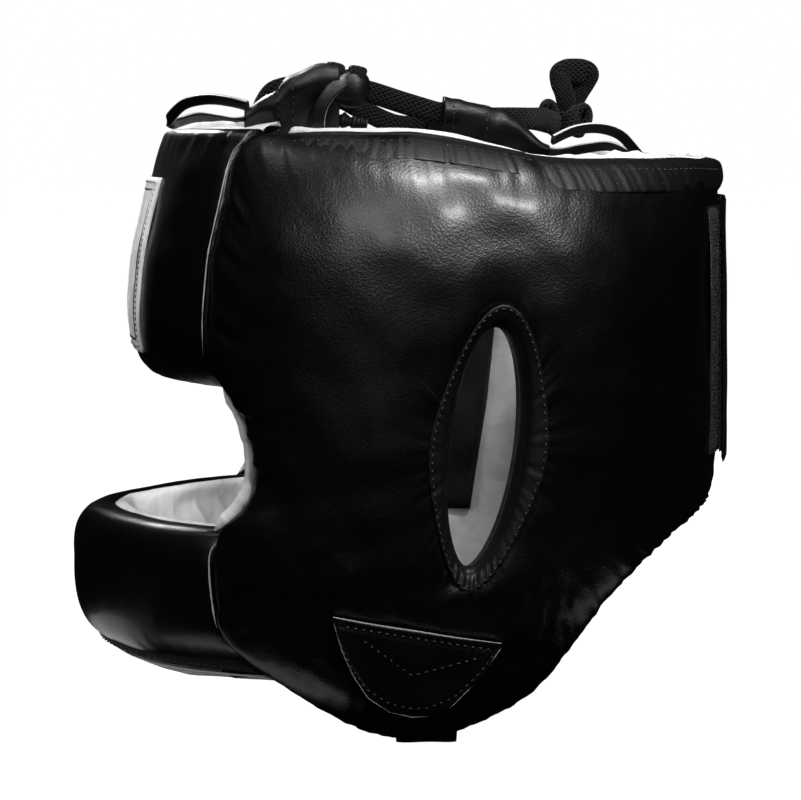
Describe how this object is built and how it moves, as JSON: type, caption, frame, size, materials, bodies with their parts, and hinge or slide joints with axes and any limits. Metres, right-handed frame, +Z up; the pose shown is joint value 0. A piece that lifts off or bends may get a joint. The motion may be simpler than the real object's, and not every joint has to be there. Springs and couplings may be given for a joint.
{
  "type": "boxing headgear",
  "caption": "Padded leather boxing headgear with a rigid-cored face bar, ear openings, suede lining, laced crown, hook-and-loop back flap and chin strap.",
  "frame": {"origin": "centre of the footprint at the level of the chin strap and jaw edge, on the mid-plane", "axes": "-X is the way the wearer looks, -Y is the wearer's left side, +Z is up towards the crown"},
  "size_m": [0.2964, 0.218, 0.2865],
  "materials": {
    "black_leather": "glossy fine-grain leather",
    "grey_suede": "napped suede lining",
    "padding_foam": "closed-cell and latex foam layers",
    "bar_core_plastic": "rigid nylon strip",
    "label_fabric": "woven label, plain",
    "hook_loop_tape": "hook and loop tape",
    "binding_tape": "black binding tape",
    "lace_braid": "braided flat lace",
    "thong_leather": "thin round-edged leather thong",
    "strap_leather": "satin strap leather"
  },
  "bodies": {
    "shell": {"forehead_cover": "black_leather", "forehead_foam": "padding_foam", "forehead_lining": "grey_suede", "forehead_label": "label_fabric", "bar_cover": "black_leather", "bar_outer_foam": "padding_foam", "bar_core": "bar_core_plastic", "bar_inner_foam": "padding_foam", "bar_lining": "grey_suede", "bar_lower_binding": "binding_tape", "front_thong": "thong_leather", "rear_thong": "thong_leather", "crown_lace": "lace_braid", "lace_knot": "lace_braid", "lace_bow": "lace_braid", "ear_backing_right": "black_leather", "flap_root": "strap_leather", "back_loop_tape": "hook_loop_tape", "side_cover_left": "black_leather", "side_foam_left": "padding_foam", "side_lining_left": "grey_suede", "ear_binding_left": "black_leather", "ear_facing_left": "black_leather", "bar_tab_left": "strap_leather", "crown_hem_left": "black_leather", "rear_hem_left": "black_leather", "front_keeper_left": "strap_leather", "rear_keeper_left": "strap_leather", "chin_patch_left": "strap_leather", "chin_tab_left": "strap_leather", "side_cover_right": "black_leather", "side_foam_right": "padding_foam", "side_lining_right": "grey_suede", "ear_binding_right": "black_leather", "ear_facing_right": "black_leather", "bar_tab_right": "strap_leather", "crown_hem_right": "black_leather", "rear_hem_right": "black_leather", "front_keeper_right": "strap_leather", "rear_keeper_right": "strap_leather", "chin_patch_right": "strap_leather", "chin_tab_right": "strap_leather"},
    "flap": {"back_flap": "strap_leather", "flap_hook_tape": "hook_loop_tape"},
    "chin_left": {"chin_strap_left": "strap_leather", "chin_loop_tape": "hook_loop_tape"},
    "chin_right": {"chin_strap_right": "strap_leather", "chin_hook_tape": "hook_loop_tape"}
  },
  "joints": [
    {"name": "back_flap_peel", "type": "hinge", "parent": "shell", "child": "flap", "pos_m": [0.1409, 0.0414, 0], "axis": [0, 0, 1], "range_deg": [0, 110]},
    {"name": "chin_left_lift", "type": "hinge", "parent": "shell", "child": "chin_left", "pos_m": [0, -0.067, 0.001], "axis": [1, 0, 0], "range_deg": [0, 60]},
    {"name": "chin_right_drop", "type": "hinge", "parent": "shell", "child": "chin_right", "pos_m": [0, 0.067, 0.001], "axis": [1, 0, 0], "range_deg": [0, 100]}
  ]
}
